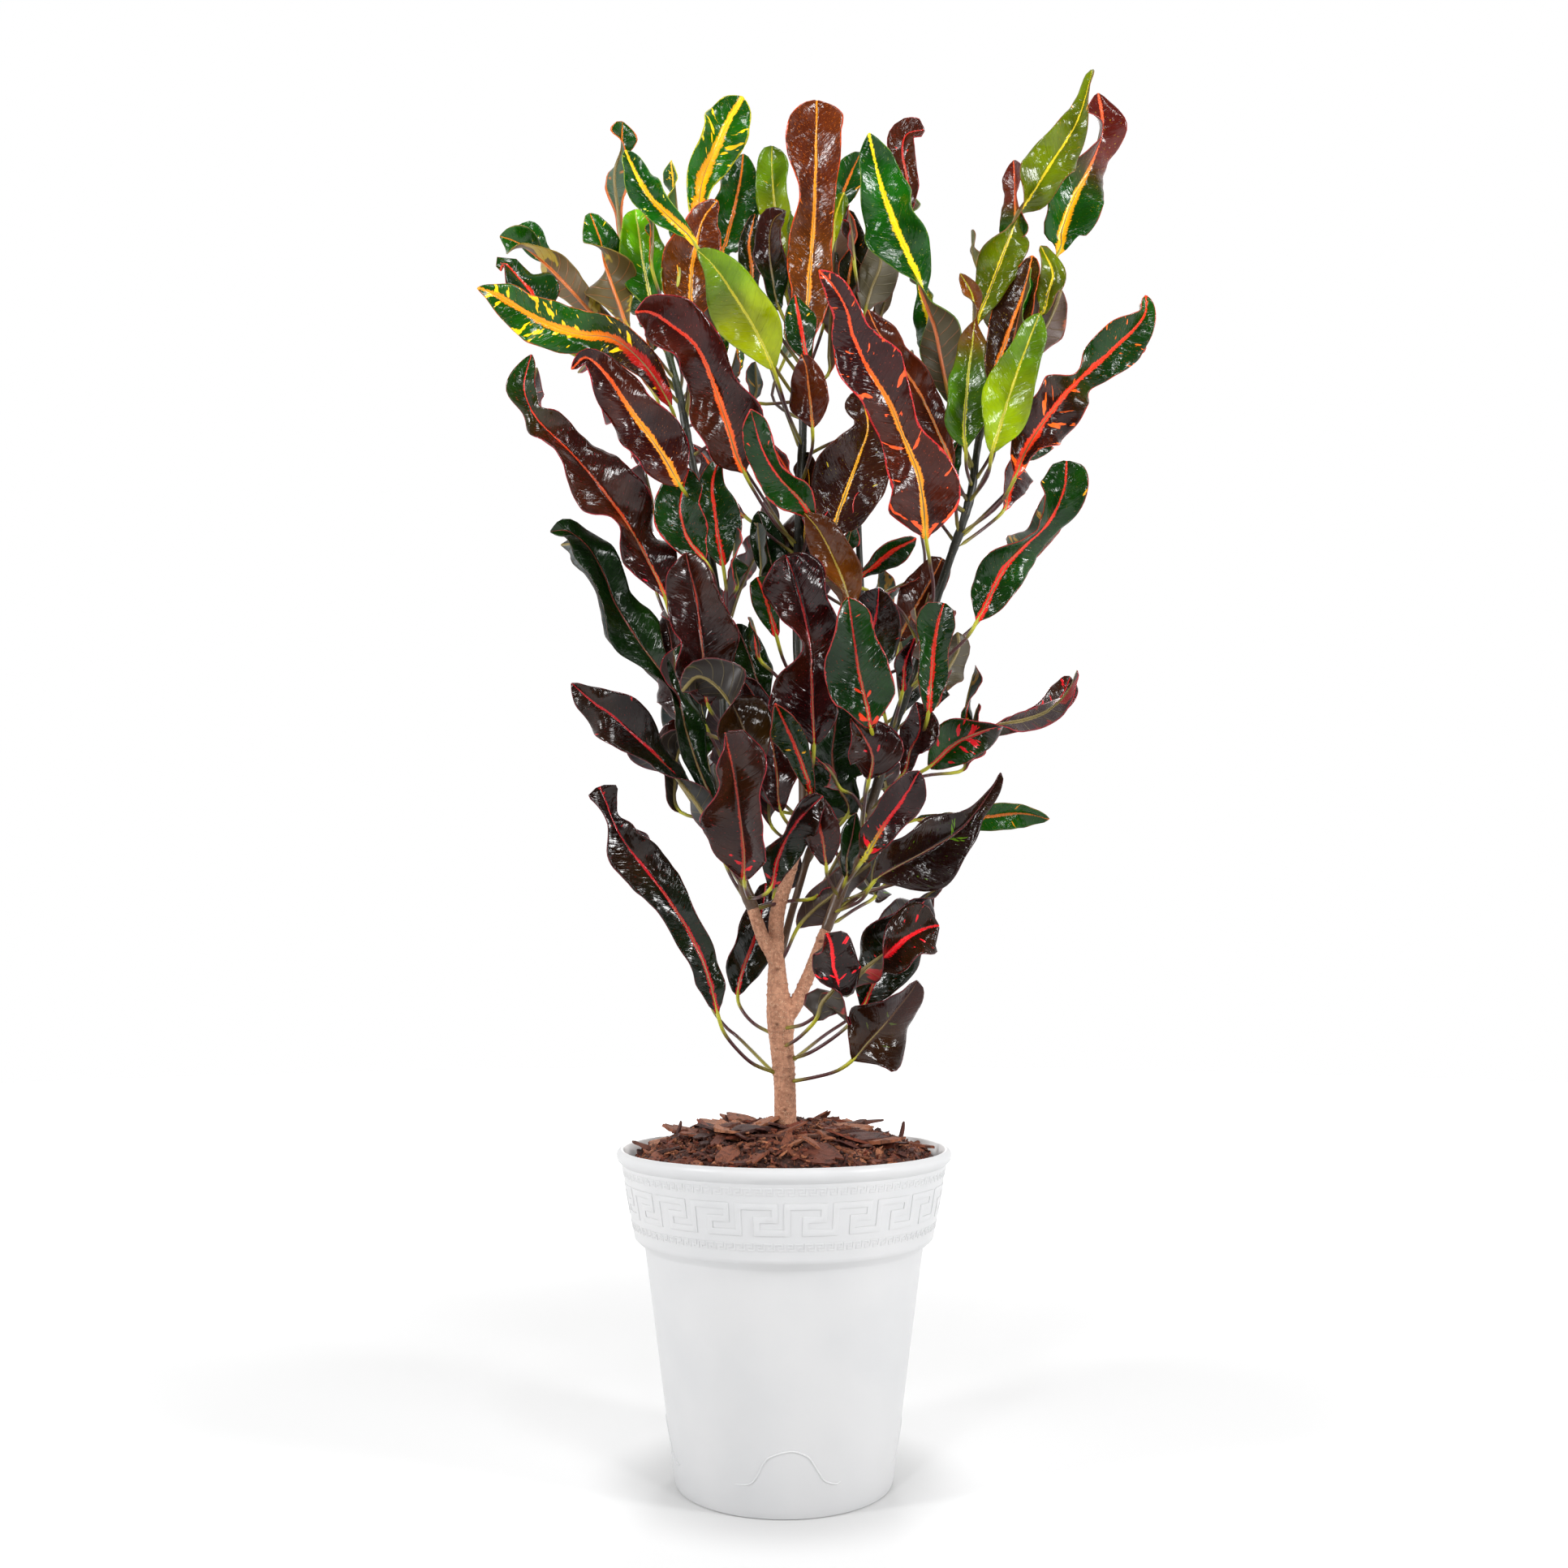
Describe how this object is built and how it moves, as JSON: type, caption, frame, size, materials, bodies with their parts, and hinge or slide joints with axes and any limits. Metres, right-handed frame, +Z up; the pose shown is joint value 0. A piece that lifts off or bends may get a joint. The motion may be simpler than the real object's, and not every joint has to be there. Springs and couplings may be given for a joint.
{
  "type": "potted croton",
  "caption": "Tall potted croton: forked woody trunk with curling, gold- and red-ribbed leaves, bark mulch and a tapered white pot with a banded rim.",
  "frame": {"origin": "middle of the pot's flat bottom, on the surface that the pot stands on", "axes": "+Z up along the pot and trunk, -Y towards the side that the picture shows, +X to that viewer's right"},
  "size_m": [0.4521, 0.3018, 0.8732],
  "materials": {
    "pot_plastic": "white moulded plastic, slightly glossy",
    "soil": "dark crumbly potting soil",
    "bark_chips": "rough red-brown bark chips",
    "trunk_bark": "tan-brown speckled bark",
    "leaf_green_gold": "glossy leaves, green with gold ribs and maroon lower leaves",
    "leaf_maroon": "glossy maroon leaves with orange and red ribs",
    "leaf_dark": "glossy black-green leaves with red ribs",
    "leaf_olive": "glossy olive and maroon leaves with yellow and red ribs"
  },
  "bodies": {
    "root": {"pot": "pot_plastic", "soil": "soil", "bark_mulch": "bark_chips", "trunk": "trunk_bark", "left_stem": "leaf_green_gold", "centre_stem": "leaf_maroon", "slim_stem": "leaf_dark", "right_stem": "leaf_olive", "low_leaf_left": "leaf_dark", "low_leaf_upright": "leaf_dark", "low_leaf_front": "leaf_maroon", "low_leaf_dark": "leaf_dark", "low_leaf_red": "leaf_maroon", "low_leaf_small": "leaf_maroon", "fork_leaf": "leaf_maroon", "low_back_leaf_left": "leaf_dark", "low_back_leaf_dark": "leaf_dark"}
  },
  "joints": []
}
